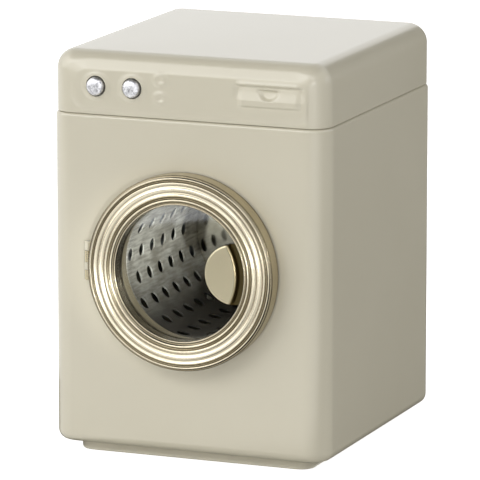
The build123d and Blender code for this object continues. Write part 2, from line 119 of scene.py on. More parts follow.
def pick(piece, kind, wanted):
    """Selects the vertices, edges or faces whose corner points, in millimetres, pass a test."""
    select_only(piece)
    bpy.ops.object.mode_set(mode="EDIT")
    bpy.ops.mesh.select_mode(type=kind)
    bpy.ops.mesh.select_all(action="DESELECT")
    bpy.ops.object.mode_set(mode="OBJECT")
    mesh = piece.data
    parts = {"EDGE": mesh.edges, "FACE": mesh.polygons}[kind]
    for part in parts:
        part.select = wanted([mesh.vertices[i].co / MM for i in part.vertices])
    bpy.ops.object.mode_set(mode="EDIT")


def done():
    """Leaves edit mode."""
    bpy.ops.object.mode_set(mode="OBJECT")


def all_at(points, axis, place, near=0.01):
    """True if every point lies at this place along an axis, 0 for X, 1 for Y and 2 for Z."""
    return all(abs(p[axis] - place) < near for p in points)


def block(name, low, high):
    """A box between two corners, in millimetres."""
    bpy.ops.object.select_all(action="DESELECT")
    bpy.ops.mesh.primitive_cube_add(size=1)
    piece = bpy.context.object
    piece.name = name
    low, high = Vector(low) * MM, Vector(high) * MM
    bpy.ops.object.mode_set(mode="EDIT")
    bpy.ops.transform.resize(value=high - low)
    bpy.ops.transform.translate(value=(low + high) / 2)
    done()
    return piece


def rod(name, radius, front_y, rear_y, x, z, sides):
    """A round bar that lies front to back, in millimetres."""
    bpy.ops.object.select_all(action="DESELECT")
    bpy.ops.mesh.primitive_cylinder_add(vertices=sides, radius=radius * MM, depth=(rear_y - front_y) * MM)
    piece = bpy.context.object
    piece.name = name
    bpy.ops.object.mode_set(mode="EDIT")
    bpy.ops.transform.rotate(value=pi / 2, orient_axis="X", center_override=(0, 0, 0))
    bpy.ops.transform.translate(value=Vector((x, (front_y + rear_y) / 2, z)) * MM)
    done()
    return piece


def turned(name, outline, x, z, steps=128):
    """A piece turned about a front-to-back line, from its closed (radius, Y) outline in millimetres."""
    bpy.ops.object.select_all(action="DESELECT")
    bpy.ops.mesh.primitive_plane_add(size=MM)
    piece = bpy.context.object
    piece.name = name
    bpy.ops.object.mode_set(mode="EDIT")
    bpy.ops.mesh.select_mode(type="VERT")
    bpy.ops.mesh.merge(type="CENTER")
    points = [Vector((x + radius, y, z)) * MM for radius, y in outline]
    bpy.ops.transform.translate(value=points[0])
    for start, end in zip(points, points[1:] + points[:1]):
        bpy.ops.mesh.extrude_region_move(TRANSFORM_OT_translate={"value": end - start})
    bpy.ops.mesh.select_all(action="SELECT")
    bpy.ops.mesh.spin(steps=steps, angle=2 * pi, center=Vector((x, 0, z)) * MM, axis=(0, 1, 0))
    bpy.ops.mesh.select_all(action="SELECT")
    bpy.ops.mesh.remove_doubles(threshold=0.002 * MM)
    bpy.ops.mesh.normals_make_consistent(inside=False)
    done()
    return piece


def apply_modifier(piece, kind, **settings):
    """Adds a modifier with its settings and applies it."""
    select_only(piece)
    modifier = piece.modifiers.new(kind.title(), kind)
    for name, value in settings.items():
        setattr(modifier, name, value)
    bpy.ops.object.modifier_apply(modifier=modifier.name)


def combine(piece, other, operation):
    """Cuts, joins or crosses a piece with another one, which is used up."""
    apply_modifier(piece, "BOOLEAN", operation=operation, solver="EXACT", object=other)
    bpy.data.objects.remove(other)


def join(piece, others):
    """Makes several objects one."""
    select_only(piece)
    for other in others:
        other.select_set(True)
    bpy.ops.object.join()


def merge_points(piece):
    """Merges the vertices that lie on each other."""
    select_only(piece)
    bpy.ops.object.mode_set(mode="EDIT")
    bpy.ops.mesh.select_all(action="SELECT")
    bpy.ops.mesh.remove_doubles(threshold=0.002 * MM)
    done()


def smooth(piece, angle=30, weighted=True):
    """Shades a piece smoothly across edges flatter than an angle, with its flat faces left flat."""
    select_only(piece)
    bpy.ops.object.shade_smooth_by_angle(angle=radians(angle))
    if weighted:
        apply_modifier(piece, "WEIGHTED_NORMAL", keep_sharp=True, weight=80)


def place(piece, body, material, slot, *nodes):
    """Gives a finished piece its material and its body, and hides the CAD nodes that it stands for. The slot
    argument is not used.
    """
    piece.data.materials.clear()
    piece.data.materials.append(material)
    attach(piece, body)
    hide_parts(*nodes)


def arc(centre, radius, start, end, count):
    """Points on an arc of an outline, from one angle to another in degrees."""
    points = []
    for step in range(count + 1):
        angle = radians(start + (end - start) * step / count)
        points.append((centre[0] + radius * cos(angle), centre[1] + radius * sin(angle)))
    return points


# --- Materials -----------------------------------------------------------------------------------
def colour(code, strength=1.0):
    """A colour written as sRGB hex, in Blender's linear values."""
    levels = [int(code[i:i + 2], 16) / 255 for i in (1, 3, 5)]
    linear = [level / 12.92 if level <= 0.04045 else ((level + 0.055) / 1.055) ** 2.4 for level in levels]
    return (*[value * strength for value in linear], 1.0)


def per(size):
    """The scale of a pattern whose features are this many millimetres apart."""
    return 1 / (size * MM)


def add(tree, kind, inputs=None, **settings):
    """Adds a node with its settings, and its inputs as values or as links from other nodes' outputs."""
    node = tree.nodes.new(kind)
    for name, value in settings.items():
        setattr(node, name, value)
    for name, value in (inputs or {}).items():
        if isinstance(value, bpy.types.NodeSocket):
            tree.links.new(value, node.inputs[name])
        else:
            node.inputs[name].default_value = value
    return node


def new_material(name):
    """An empty node material with its output."""
    material = bpy.data.materials.new(name)
    material.use_nodes = True
    material.node_tree.nodes.clear()
    output = material.node_tree.nodes.new("ShaderNodeOutputMaterial")
    return material, material.node_tree, output


def round_door(tree, place_on):
    """Each point's depth from the machine's middle, and its distance from the door's axis."""
    parts = add(tree, "ShaderNodeSeparateXYZ", {"Vector": place_on})
    across = add(tree, "ShaderNodeCombineXYZ", {"X": parts.outputs["X"], "Y": parts.outputs["Z"]})
    centred = add(tree, "ShaderNodeMapping", {"Vector": across.outputs["Vector"],
                                              "Location": (0, -door_height * MM, 0)})
    radius = add(tree, "ShaderNodeVectorMath", {0: centred.outputs["Vector"]}, operation="LENGTH")
    return parts.outputs["Y"], radius.outputs["Value"]


def stoved_enamel():
    """Cream stoving enamel, sprayed on pressed tinplate and baked: an even gloss with a faint orange peel
    that softens every reflection, and a tone that drifts by a percent or two over a panel. Inside the door's
    mouth the cream is painted down to a darker brown, as painted shade where the collar lies deep in the mouth."""
    material, tree, output = new_material("stoved_cream_enamel")
    place_on = add(tree, "ShaderNodeTexCoord").outputs["Object"]
    drift = add(tree, "ShaderNodeTexNoise", {"Vector": place_on, "Scale": per(45), "Detail": 2.0})
    cream = add(tree, "ShaderNodeMix", {"Factor": drift.outputs["Fac"], "A": colour("#c8c2ae"),
                                        "B": colour("#cec8b5")}, data_type="RGBA")
    depth, radius = round_door(tree, place_on)
    # Painted shade: inside the door's mouth, from just behind the front, the cream turns to a darker brown where the
    # collar lies in shade.
    within = add(tree, "ShaderNodeMapRange", {"Value": radius, "From Min": 24 * MM, "From Max": 23.2 * MM})
    behind = add(tree, "ShaderNodeMapRange", {"Value": depth, "From Min": (front + 0.3) * MM,
                                              "From Max": (front + 1.0) * MM})
    before = add(tree, "ShaderNodeMath", {0: depth, 1: 0.0}, operation="LESS_THAN")
    mouth = add(tree, "ShaderNodeMath", {0: within.outputs["Result"], 1: behind.outputs["Result"]},
                operation="MULTIPLY")
    painted_mouth_shade = add(tree, "ShaderNodeMath", {0: mouth.outputs["Value"], 1: before.outputs["Value"]},
                 operation="MULTIPLY")
    tone = add(tree, "ShaderNodeMix", {"Factor": painted_mouth_shade.outputs["Value"], "A": cream.outputs["Result"],
                                       "B": colour("#b3a486")}, data_type="RGBA")
    peel = add(tree, "ShaderNodeTexNoise", {"Vector": place_on, "Scale": per(1.6), "Detail": 1.0})
    bump = add(tree, "ShaderNodeBump", {"Height": peel.outputs["Fac"], "Strength": 0.1, "Distance": 0.02 * MM})
    shader = add(tree, "ShaderNodeBsdfPrincipled", {
        "Base Color": tone.outputs["Result"], "Normal": bump.outputs["Normal"], "Roughness": 0.3,
        "IOR": 1.5, "Coat Weight": 0.4, "Coat Roughness": 0.18})
    tree.links.new(shader.outputs["BSDF"], output.inputs["Surface"])
    return material


def champagne_lacquer(name, along, first_tone, steps, shine):
    """Spun steel under a satin champagne lacquer: soft bright bands and faint turning lines round the door's
    middle. Its tone changes in steps, each over a stretch in millimetres, along the depth from the front or the
    distance from the door's middle; the callers use these steps as painted shade in grooves, steps and gaps."""
    material, tree, output = new_material(name)
    depth, radius = round_door(tree, add(tree, "ShaderNodeTexCoord").outputs["Object"])
    measure = {"depth": depth, "radius": radius}[along]
    tone = colour(first_tone)
    for start, end, next_tone in steps:
        share = add(tree, "ShaderNodeMapRange", {"Value": measure, "From Min": start * MM, "From Max": end * MM})
        tone = add(tree, "ShaderNodeMix", {"Factor": share.outputs["Result"], "A": tone,
                                           "B": colour(next_tone)}, data_type="RGBA").outputs["Result"]
    lines = add(tree, "ShaderNodeTexNoise", {"W": radius, "Scale": per(0.35), "Detail": 2.0},
                noise_dimensions="1D")
    bump = add(tree, "ShaderNodeBump", {"Height": lines.outputs["Fac"], "Strength": 0.12, "Distance": 0.01 * MM})
    shader = add(tree, "ShaderNodeBsdfPrincipled", {
        "Base Color": tone, "Normal": bump.outputs["Normal"], "Metallic": 1.0, "Roughness": shine})
    tree.links.new(shader.outputs["BSDF"], output.inputs["Surface"])
    return material


def rolled_steel():
    """Bare cold-rolled steel of the drum: its thin oxide film makes it a matt light grey, with rolling lines
    along the drum and smeared patches where it was handled. Below the door's middle it darkens towards the bottom,
    as painted shade."""
    material, tree, output = new_material("rolled_bare_steel")
    place_on = add(tree, "ShaderNodeTexCoord").outputs["Object"]
    stretched = add(tree, "ShaderNodeMapping", {"Vector": place_on, "Scale": (1.0, 0.12, 1.0)})
    lines = add(tree, "ShaderNodeTexNoise", {"Vector": stretched.outputs["Vector"], "Scale": per(0.8),
                                             "Detail": 3.0})
    smears = add(tree, "ShaderNodeTexNoise", {"Vector": place_on, "Scale": per(9), "Detail": 3.0})
    both = add(tree, "ShaderNodeMath", {0: lines.outputs["Fac"], 1: smears.outputs["Fac"]}, operation="MULTIPLY")
    worn = add(tree, "ShaderNodeMapRange", {"Value": both.outputs["Value"], "From Min": 0.15, "From Max": 0.36})
    bare = add(tree, "ShaderNodeMix", {"Factor": worn.outputs["Result"], "A": colour("#beb6a6"),
                                       "B": colour("#fff9ec")}, data_type="RGBA")
    # Painted shade: the wall darkens from just below the door's middle towards the bottom of the drum.
    height = add(tree, "ShaderNodeSeparateXYZ", {"Vector": place_on}).outputs["Z"]
    painted_shade_low = add(tree, "ShaderNodeMapRange", {"Value": height, "From Min": (door_height - 2) * MM,
                                                "From Max": (door_height - 19) * MM})
    tone = add(tree, "ShaderNodeMix", {"Factor": painted_shade_low.outputs["Result"], "A": bare.outputs["Result"],
                                       "B": colour("#55504a")}, data_type="RGBA")
    rough = add(tree, "ShaderNodeMapRange", {"Value": smears.outputs["Fac"], "To Min": 0.6, "To Max": 0.8})
    bump = add(tree, "ShaderNodeBump", {"Height": lines.outputs["Fac"], "Strength": 0.15, "Distance": 0.02 * MM})
    shader = add(tree, "ShaderNodeBsdfPrincipled", {
        "Base Color": tone.outputs["Result"], "Normal": bump.outputs["Normal"], "Metallic": 0.2,
        "Roughness": rough.outputs["Result"]})
    tree.links.new(shader.outputs["BSDF"], output.inputs["Surface"])
    return material


def polished_steel():
    """The same steel polished for the drum's end, so that the wall's rows of holes show again in it."""
    material, tree, output = new_material("polished_steel_end")
    place_on = add(tree, "ShaderNodeTexCoord").outputs["Object"]
    haze = add(tree, "ShaderNodeTexNoise", {"Vector": place_on, "Scale": per(12), "Detail": 2.0})
    rough = add(tree, "ShaderNodeMapRange", {"Value": haze.outputs["Fac"], "To Min": 0.06, "To Max": 0.16})
    tone = add(tree, "ShaderNodeMix", {"Factor": haze.outputs["Fac"], "A": colour("#c4c0b6"),
                                       "B": colour("#d8d5cb")}, data_type="RGBA")
    shader = add(tree, "ShaderNodeBsdfPrincipled", {
        "Base Color": tone.outputs["Result"], "Metallic": 1.0, "Roughness": rough.outputs["Result"]})
    tree.links.new(shader.outputs["BSDF"], output.inputs["Surface"])
    return material


def zinc_plate():
    """Zinc-plated steel of the small hidden fittings: cool, bright and slightly clouded."""
    material, tree, output = new_material("zinc_plated_steel")
    place_on = add(tree, "ShaderNodeTexCoord").outputs["Object"]
    cloud = add(tree, "ShaderNodeTexNoise", {"Vector": place_on, "Scale": per(2.5), "Detail": 3.0})
    tone = add(tree, "ShaderNodeMix", {"Factor": cloud.outputs["Fac"], "A": colour("#a9aaa8"),
                                       "B": colour("#c6c7c4")}, data_type="RGBA")
    rough = add(tree, "ShaderNodeMapRange", {"Value": cloud.outputs["Fac"], "To Min": 0.25, "To Max": 0.45})
    shader = add(tree, "ShaderNodeBsdfPrincipled", {
        "Base Color": tone.outputs["Result"], "Metallic": 1.0, "Roughness": rough.outputs["Result"]})
    tree.links.new(shader.outputs["BSDF"], output.inputs["Surface"])
    return material


def crumpled_foil():
    """Silver foil hot-stamped on the moulded dials: tiny facets that sparkle white and grey."""
    material, tree, output = new_material("hot_stamped_silver")
    place_on = add(tree, "ShaderNodeTexCoord").outputs["Object"]
    facets = add(tree, "ShaderNodeTexVoronoi", {"Vector": place_on, "Scale": per(0.5)})
    tone = add(tree, "ShaderNodeMix", {"Factor": facets.outputs["Color"], "A": colour("#9c9ca0"),
                                       "B": colour("#ececee")}, data_type="RGBA")
    bump = add(tree, "ShaderNodeBump", {"Height": facets.outputs["Distance"], "Strength": 0.35,
                                        "Distance": 0.05 * MM})
    shader = add(tree, "ShaderNodeBsdfPrincipled", {
        "Base Color": tone.outputs["Result"], "Normal": bump.outputs["Normal"], "Metallic": 1.0,
        "Roughness": 0.42})
    tree.links.new(shader.outputs["BSDF"], output.inputs["Surface"])
    return material


def clear_acrylic():
    """Cast acrylic of the door's window: clear, with a gloss that grows towards grazing views."""
    material, tree, output = new_material("cast_clear_acrylic")
    place_on = add(tree, "ShaderNodeTexCoord").outputs["Object"]
    slanted = add(tree, "ShaderNodeMapping", {"Vector": place_on, "Rotation": (0, radians(35), 0),
                                              "Scale": (1.0, 1.0, 0.2)})
    streaks = add(tree, "ShaderNodeTexNoise", {"Vector": slanted.outputs["Vector"], "Scale": per(2.5),
                                               "Detail": 2.0})
    bump = add(tree, "ShaderNodeBump", {"Height": streaks.outputs["Fac"], "Strength": 0.05,
                                        "Distance": 0.02 * MM})
    mirror = add(tree, "ShaderNodeBsdfPrincipled", {
        "Base Color": colour("#f4f6fa"), "Metallic": 1.0, "Roughness": 0.03, "Normal": bump.outputs["Normal"]})
    see_through = add(tree, "ShaderNodeBsdfTransparent", {"Color": colour("#f7f9f9")})
    slant = add(tree, "ShaderNodeLayerWeight", {"Blend": 0.5})
    rise = add(tree, "ShaderNodeMath", {0: slant.outputs["Facing"], 1: 5.0}, operation="POWER")
    gloss = add(tree, "ShaderNodeMapRange", {"Value": rise.outputs["Value"], "To Min": 0.03, "To Max": 1.0})
    mix = add(tree, "ShaderNodeMixShader", {0: gloss.outputs["Result"], 1: see_through.outputs["BSDF"],
                                            2: mirror.outputs["BSDF"]})
    tree.links.new(mix.outputs["Shader"], output.inputs["Surface"])
    return material


def moulded_nylon():
    """Moulded natural nylon of the bush, the spacer and the washers: waxy, off-white and faintly mottled."""
    material, tree, output = new_material("moulded_nylon")
    place_on = add(tree, "ShaderNodeTexCoord").outputs["Object"]
    mottle = add(tree, "ShaderNodeTexNoise", {"Vector": place_on, "Scale": per(1.5), "Detail": 2.0})
    tone = add(tree, "ShaderNodeMix", {"Factor": mottle.outputs["Fac"], "A": colour("#dedbcf"),
                                       "B": colour("#e9e6dc")}, data_type="RGBA")
    shader = add(tree, "ShaderNodeBsdfPrincipled", {
        "Base Color": tone.outputs["Result"], "Roughness": 0.5, "IOR": 1.53, "Subsurface Weight": 0.05})
    tree.links.new(shader.outputs["BSDF"], output.inputs["Surface"])
    return material


def sintered_ferrite():
    """Sintered ferrite of the catch magnet: charcoal grey and grainy."""
    material, tree, output = new_material("sintered_ferrite")
    place_on = add(tree, "ShaderNodeTexCoord").outputs["Object"]
    grain = add(tree, "ShaderNodeTexNoise", {"Vector": place_on, "Scale": per(0.3), "Detail": 3.0})
    tone = add(tree, "ShaderNodeMix", {"Factor": grain.outputs["Fac"], "A": colour("#232325"),
                                       "B": colour("#3b3b3e")}, data_type="RGBA")
    shader = add(tree, "ShaderNodeBsdfPrincipled", {"Base Color": tone.outputs["Result"], "Roughness": 0.75})
    tree.links.new(shader.outputs["BSDF"], output.inputs["Surface"])
    return material


enamel = stoved_enamel()
# Painted shade on the ring: from the crests the tone darkens into the troughs between the beads, returns to a
# lighter khaki on the outer wall, and darkens again as a painted contact shadow near the wall's foot at the
# cabinet's front.
ring_lacquer_painted_shade = champagne_lacquer("champagne_ring_painted_shade", "depth", "#d3cab4", [
    (groove_y - 0.65, groove_y + 0.1, "#5a5038"), (groove_y + 0.15, groove_y + 0.6, "#bcb195"),
    (door_rear - 1.2, door_rear - 0.3, "#5a4f38")], 0.26)
# Painted shade on the grip: the face darkens outwards over the fingertip step along the ring, where the drop lies in
# shade, and this also dims the step's highlight.
grip_lacquer_painted_shade = champagne_lacquer("champagne_grip_painted_shade", "radius", "#beb599", [
    (17.5, 18.2, "#6a6047"), (18.2, 19.0, "#4a4129")], 0.3)
drum_steel = rolled_steel()
end_steel = polished_steel()
zinc = zinc_plate()
foil = crumpled_foil()
acrylic = clear_acrylic()
nylon = moulded_nylon()
ferrite = sintered_ferrite()


# --- Cabinet -------------------------------------------------------------------------------------
def rounded_block(name, low, high, corner, corner_steps):
    """A box with rounded upright edges, in millimetres."""
    piece = block(name, low, high)
    pick(piece, "EDGE", lambda p: abs(p[0].z - p[1].z) > 0.5)
    bpy.ops.mesh.bevel(offset=corner * MM, segments=corner_steps, affect="EDGES")
    done()
    return piece


def make_cabinet():
    width, depth = shell_high.x / MM, back
    bottom = shell_low.z / MM
    cabinet = rounded_block("enamel_cabinet", (-width, -depth, bottom), (width, depth, seam), cabinet_corner, 14)
    pick(cabinet, "EDGE", lambda p: all_at(p, 2, bottom))
    bpy.ops.mesh.bevel(offset=bottom_round * MM, segments=6, affect="EDGES")
    done()
    pick(cabinet, "EDGE", lambda p: all_at(p, 2, seam))
    bpy.ops.mesh.bevel(offset=shoulder_round * MM, segments=4, affect="EDGES")
    done()
    pick(cabinet, "FACE", lambda p: all_at(p, 2, seam))
    bpy.ops.mesh.inset(thickness=0.25 * MM)
    bpy.ops.mesh.extrude_region_move(TRANSFORM_OT_translate={"value": (0, 0, 3 * MM)})
    bpy.ops.mesh.delete(type="FACE")
    done()
    pick(cabinet, "FACE", lambda p: all_at(p, 2, bottom))
    bpy.ops.mesh.inset(thickness=1.8 * MM)
    bpy.ops.mesh.delete(type="FACE")
    done()
    apply_modifier(cabinet, "SOLIDIFY", thickness=sheet * MM, offset=-1, use_even_offset=True)

    rim = mouth_radius + mouth_round + 0.4
    combine(cabinet, rod("mouth_cutter", rim, front - 2, front + 2, 0, door_height, 128), "DIFFERENCE")
    inner = front + sheet
    outline = arc((mouth_radius + mouth_round, front + mouth_round), mouth_round, -90, -180, 5)
    outline = [(rim, front)] + outline
    outline += [(mouth_radius, collar_rear), (mouth_radius + sheet, collar_rear)]
    outline += arc((mouth_radius + mouth_round + 0.4, inner + 0.4), 0.4, 180, 270, 2)
    collar = turned("mouth_collar", outline, 0, door_height)
    join(cabinet, [collar])
    merge_points(cabinet)

    cut_low = (panel_low / MM) - Vector((0.1, 0.0, 0.1))
    cut_high = (panel_high / MM) + Vector((0.1, 1.0, 0.1))
    opening = block("panel_cutter", cut_low, cut_high)
    pick(opening, "EDGE", lambda p: abs(p[0].y - p[1].y) > 1)
    bpy.ops.mesh.bevel(offset=(panel_corner + 0.1) * MM, segments=10, affect="EDGES")
    done()
    combine(cabinet, opening, "DIFFERENCE")
    smooth(cabinet)
    return cabinet


def make_panel_ledge():
    """Joggled ledge inside the back opening that the panel is screwed to."""
    low, high = panel_low / MM, panel_high / MM
    ledge = block("panel_ledge", low + Vector((-0.8, -sheet, -0.8)), (high.x + 0.8, low.y, high.z + 0.8))
    pick(ledge, "EDGE", lambda p: abs(p[0].y - p[1].y) > 0.1)
    bpy.ops.mesh.bevel(offset=(panel_corner + sheet) * MM, segments=10, affect="EDGES")
    done()
    hole = block("ledge_cutter", low + Vector((5, -3, 5)), (high.x - 5, high.y, high.z - 5))
    pick(hole, "EDGE", lambda p: abs(p[0].y - p[1].y) > 0.1)
    bpy.ops.mesh.bevel(offset=2 * MM, segments=5, affect="EDGES")
    done()
    combine(ledge, hole, "DIFFERENCE")
    smooth(ledge)
    return ledge


def make_plinth():
    """Pressed tray whose rim lies on the cabinet's bottom lip, and whose walls stand in from its sides."""
    low, high = [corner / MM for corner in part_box("base_pan")]
    half, wall_front, wall_back = plinth_half, low.y + plinth_rim, high.y - plinth_rim
    plinth = rounded_block("pressed_plinth", (-half, wall_front, low.z), (half, wall_back, high.z), 5, 10)
    pick(plinth, "EDGE", lambda p: all_at(p, 2, low.z))
    bpy.ops.mesh.bevel(offset=sheet * MM, segments=4, affect="EDGES")
    done()
    combine(plinth, rounded_block("rim", (low.x, low.y, high.z - sheet), high, 5.5, 10), "UNION")
    inside = rounded_block("inside_cutter", (sheet - half, wall_front + sheet, low.z + sheet),
                           (half - sheet, wall_back - sheet, high.z + 1), 4.2, 10)
    combine(plinth, inside, "DIFFERENCE")
    smooth(plinth)
    return plinth


cabinet = make_cabinet()
place(cabinet, "cabinet", enamel, "cream_enamel", "cabinet_shell")
ledge = make_panel_ledge()
place(ledge, "cabinet", enamel, "cream_enamel", "cabinet_shell")
place(make_plinth(), "cabinet", enamel, "cream_enamel", "base_pan")


# --- Top cover with its pressed control panel ----------------------------------------------------
def ease(share):
    """0 below 0 and 1 above 1, with a soft start and end between."""
    share = min(max(share, 0.0), 1.0)
    return share * share * (3 - 2 * share)


def outside(x, z, centre, size, corner):
    """Distance of a point outside a rounded rectangle, or less than 0 inside it."""
    over_x = abs(x - centre[0]) - size[0] / 2 + corner
    over_z = abs(z - centre[1]) - size[1] / 2 + corner
    return hypot(max(over_x, 0), max(over_z, 0)) + min(max(over_x, over_z), 0) - corner


def pressed(distance, slope):
    """How far a pressing has risen, from 1 inside its outline to 0 outside it."""
    return ease(0.5 - distance / slope)


def plain_front(z):
    """Y of the cover's front before its pressing, at a height."""
    over = min(max(z - top + cover_round, 0), cover_round)
    return cover_front + cover_round - sqrt(cover_round ** 2 - over ** 2)


panel_plane = cover_front - 0.35
panel_centre = (1.0, top - 10.6)
panel_size = (77.0, 13.9)
knob_places = [-29.5, -17.7]
indicator_places = [(-8.5, top - 7.3), (-8.5, top - 12.9)]
drawer_centre = (26.75, top - 10.5)
drawer_size = (22.7, 7.6)
plate_size = (18.9, 5.7)
scoop_centre = (26.5, top - 8.3)
deepest_press = 2.0


def field(x, z):
    """Y of the raised field for the dials, with a flat slope all round that is broad along the top."""
    slope = 1.2 + 1.8 * ease((z - (top - 11)) / 5)
    distance = outside(x, z, panel_centre, panel_size, 5.0)
    upwards = (outside(x, z + 0.05, panel_centre, panel_size, 5.0) - distance) / 0.05
    foot = plain_front(z + max(slope / 2 - distance, 0) * max(upwards, 0))
    share = min(max(0.5 + distance / slope, 0.0), 1.0)
    return panel_plane + share * (foot - panel_plane)


def press(x, z):
    """How far the pressed front stands before the plain one, or if less than 0 behind it."""
    rise = plain_front(z) - field(x, z)
    for knob_x in knob_places:
        rise += 0.3 * pressed(hypot(x - knob_x, z - knob_z) - 4.2, 0.9)
    for centre_x, centre_z in indicator_places:
        away = hypot(x - centre_x, z - centre_z)
        rise += 0.3 * pressed(away - 2.1, 0.9) - 0.45 * pressed(away - 0.7, 0.9)
    rise += 0.4 * pressed(outside(x, z, (26.5, top - 6.6), (19, 0.6), 0.3) - 0.3, 1.0)
    height = min(max((z - (top - 11.5)) / 3.8, 0.0), 1.0)
    rise -= 0.55 * ease(0.2 + height) * pressed(outside(x, z, drawer_centre, drawer_size, 1.4) + 0.3, 0.8)
    rise += (0.55 - 0.45 * height) * pressed(outside(x, z, drawer_centre, plate_size, 0.6), 0.9)
    scoop = max(hypot(x - scoop_centre[0], z - scoop_centre[1]) - 2.9, z - scoop_centre[1])
    rise -= 0.9 * pressed(scoop, 0.9)
    return rise


def make_cover():
    width, depth = cover_high.x / MM, -cover_front
    cover = rounded_block("enamel_cover", (-width, -depth, cover_foot), (width, depth, top), cover_corner, 14)
    pick(cover, "EDGE", lambda p: all_at(p, 2, top))
    bpy.ops.mesh.bevel(offset=cover_round * MM, segments=24, affect="EDGES")
    done()
    pick(cover, "FACE", lambda p: all_at(p, 2, cover_foot))
    bpy.ops.mesh.delete(type="FACE")
    done()
    apply_modifier(cover, "SOLIDIFY", thickness=sheet * MM, offset=-1, use_even_offset=True)

    pick(cover, "EDGE", lambda p: p[0].y < cover_front + cover_round and abs(p[0].x - p[1].x) > 60
         and (p[0].y < cover_front + 0.3 or p[0].z > top - cover_round + 0.8))
    bpy.ops.mesh.subdivide(number_cuts=379, ngon=True)
    done()
    pick(cover, "EDGE", lambda p: all_at(p, 1, cover_front, 0.05) and abs(p[0].z - p[1].z) > 10)
    bpy.ops.mesh.subdivide(number_cuts=65)
    done()
    raised, sunk = [cover.vertex_groups.new(name=name) for name in ("raised", "sunk")]
    for vertex in cover.data.vertices:
        x, y, z = vertex.co / MM
        if y < cover_front + cover_round and abs(x) < width - 1:
            if z < top - 0.3 and abs(y - plain_front(z)) < 0.3:
                share = press(x, z) / deepest_press
                (raised if share > 0 else sunk).add([vertex.index], abs(share), "REPLACE")
    for name, forwards in (("raised", -1), ("sunk", 1)):
        apply_modifier(cover, "DISPLACE", direction="Y", mid_level=0, vertex_group=name,
                       strength=forwards * deepest_press * MM)
    for knob_x in knob_places:
        hole = rod("knob_cutter", knob_hole, cover_front - 2, cover_front + 2, knob_x, knob_z, 48)
        combine(cover, hole, "DIFFERENCE")
    smooth(cover, 50, weighted=False)
    return cover


cover = make_cover()
place(cover, "cabinet", enamel, "cream_enamel", "top_cover")


# --- Door ----------------------------------------------------------------------------------------
def make_ring():
    outline = [(door_bore, bore_rear)] + arc((door_bore + 0.35, groove_y + 0.05), 0.35, -180, -90, 4)
    for (radius, height), (next_radius, next_height) in zip(ring_waves, ring_waves[1:]):
        for step in range(1, 7):
            share = step / 6
            rise = height + (next_height - height) * (1 - cos(pi * share)) / 2
            outline.append((radius + (next_radius - radius) * share, groove_y - rise))
    outline += arc((door_radius - 0.35, groove_y + 0.3), 0.35, -90, 0, 4)
    outline += [(door_radius, door_rear - 0.3), (door_radius - 0.3, door_rear), (door_radius - sheet, door_rear),
                (door_radius - sheet, groove_y + sheet), (door_bore + sheet, groove_y + sheet),
                (door_bore + sheet, bore_rear)]
    ring = turned("beaded_door_ring", outline, 0, door_height, 160)
    smooth(ring, 40)
    return ring


def make_grip():
    """Half-moon plate with a rounded rim, and a soft step down for a fingertip along the ring."""
    face_y = groove_y + 0.1
    dip_y = face_y + 1.5
    grip = rod("finger_grip", grip_radius, face_y, bore_rear, grip_x, grip_z, 128)
    pick(grip, "EDGE", lambda p: all_at(p, 1, face_y))
    bpy.ops.mesh.bevel(offset=0.7 * MM, segments=6, affect="EDGES")
    done()
    combine(grip, rod("bore_cutter", door_bore - 0.02, face_y - 1, bore_rear + 1, 0, door_height, 256), "INTERSECT")
    outline = [(17.7, face_y - 1)] + arc((17.7, face_y + 0.9), 0.9, -90, -15, 8)
    outline += [(18.75, dip_y - 0.3), (19.05, dip_y), (22, dip_y), (22, face_y - 1)]
    combine(grip, turned("step_cutter", outline, 0, door_height, 256), "DIFFERENCE")
    smooth(grip, 40)
    return grip


def make_retainer():
    outer = retainer_high.x / MM
    front_y, rear_y = retainer_low.y / MM, retainer_high.y / MM
    outline = [(door_bore, front_y), (outer, front_y), (outer, rear_y), (door_bore + 0.2, rear_y),
               (door_bore, rear_y - 0.2)]
    retainer = turned("pressed_retainer", outline, 0, door_height)
    smooth(retainer)
    return retainer


place(make_ring(), "door", ring_lacquer_painted_shade, "champagne_metal", "door_ring")
place(make_grip(), "door", grip_lacquer_painted_shade, "champagne_metal", "grip_pocket")
# The retainer lies within the ring's deepest tone step, so it takes that painted contact shadow as a flat dark
# brown.
place(make_retainer(), "door", ring_lacquer_painted_shade, "plated_steel", "window_retainer")


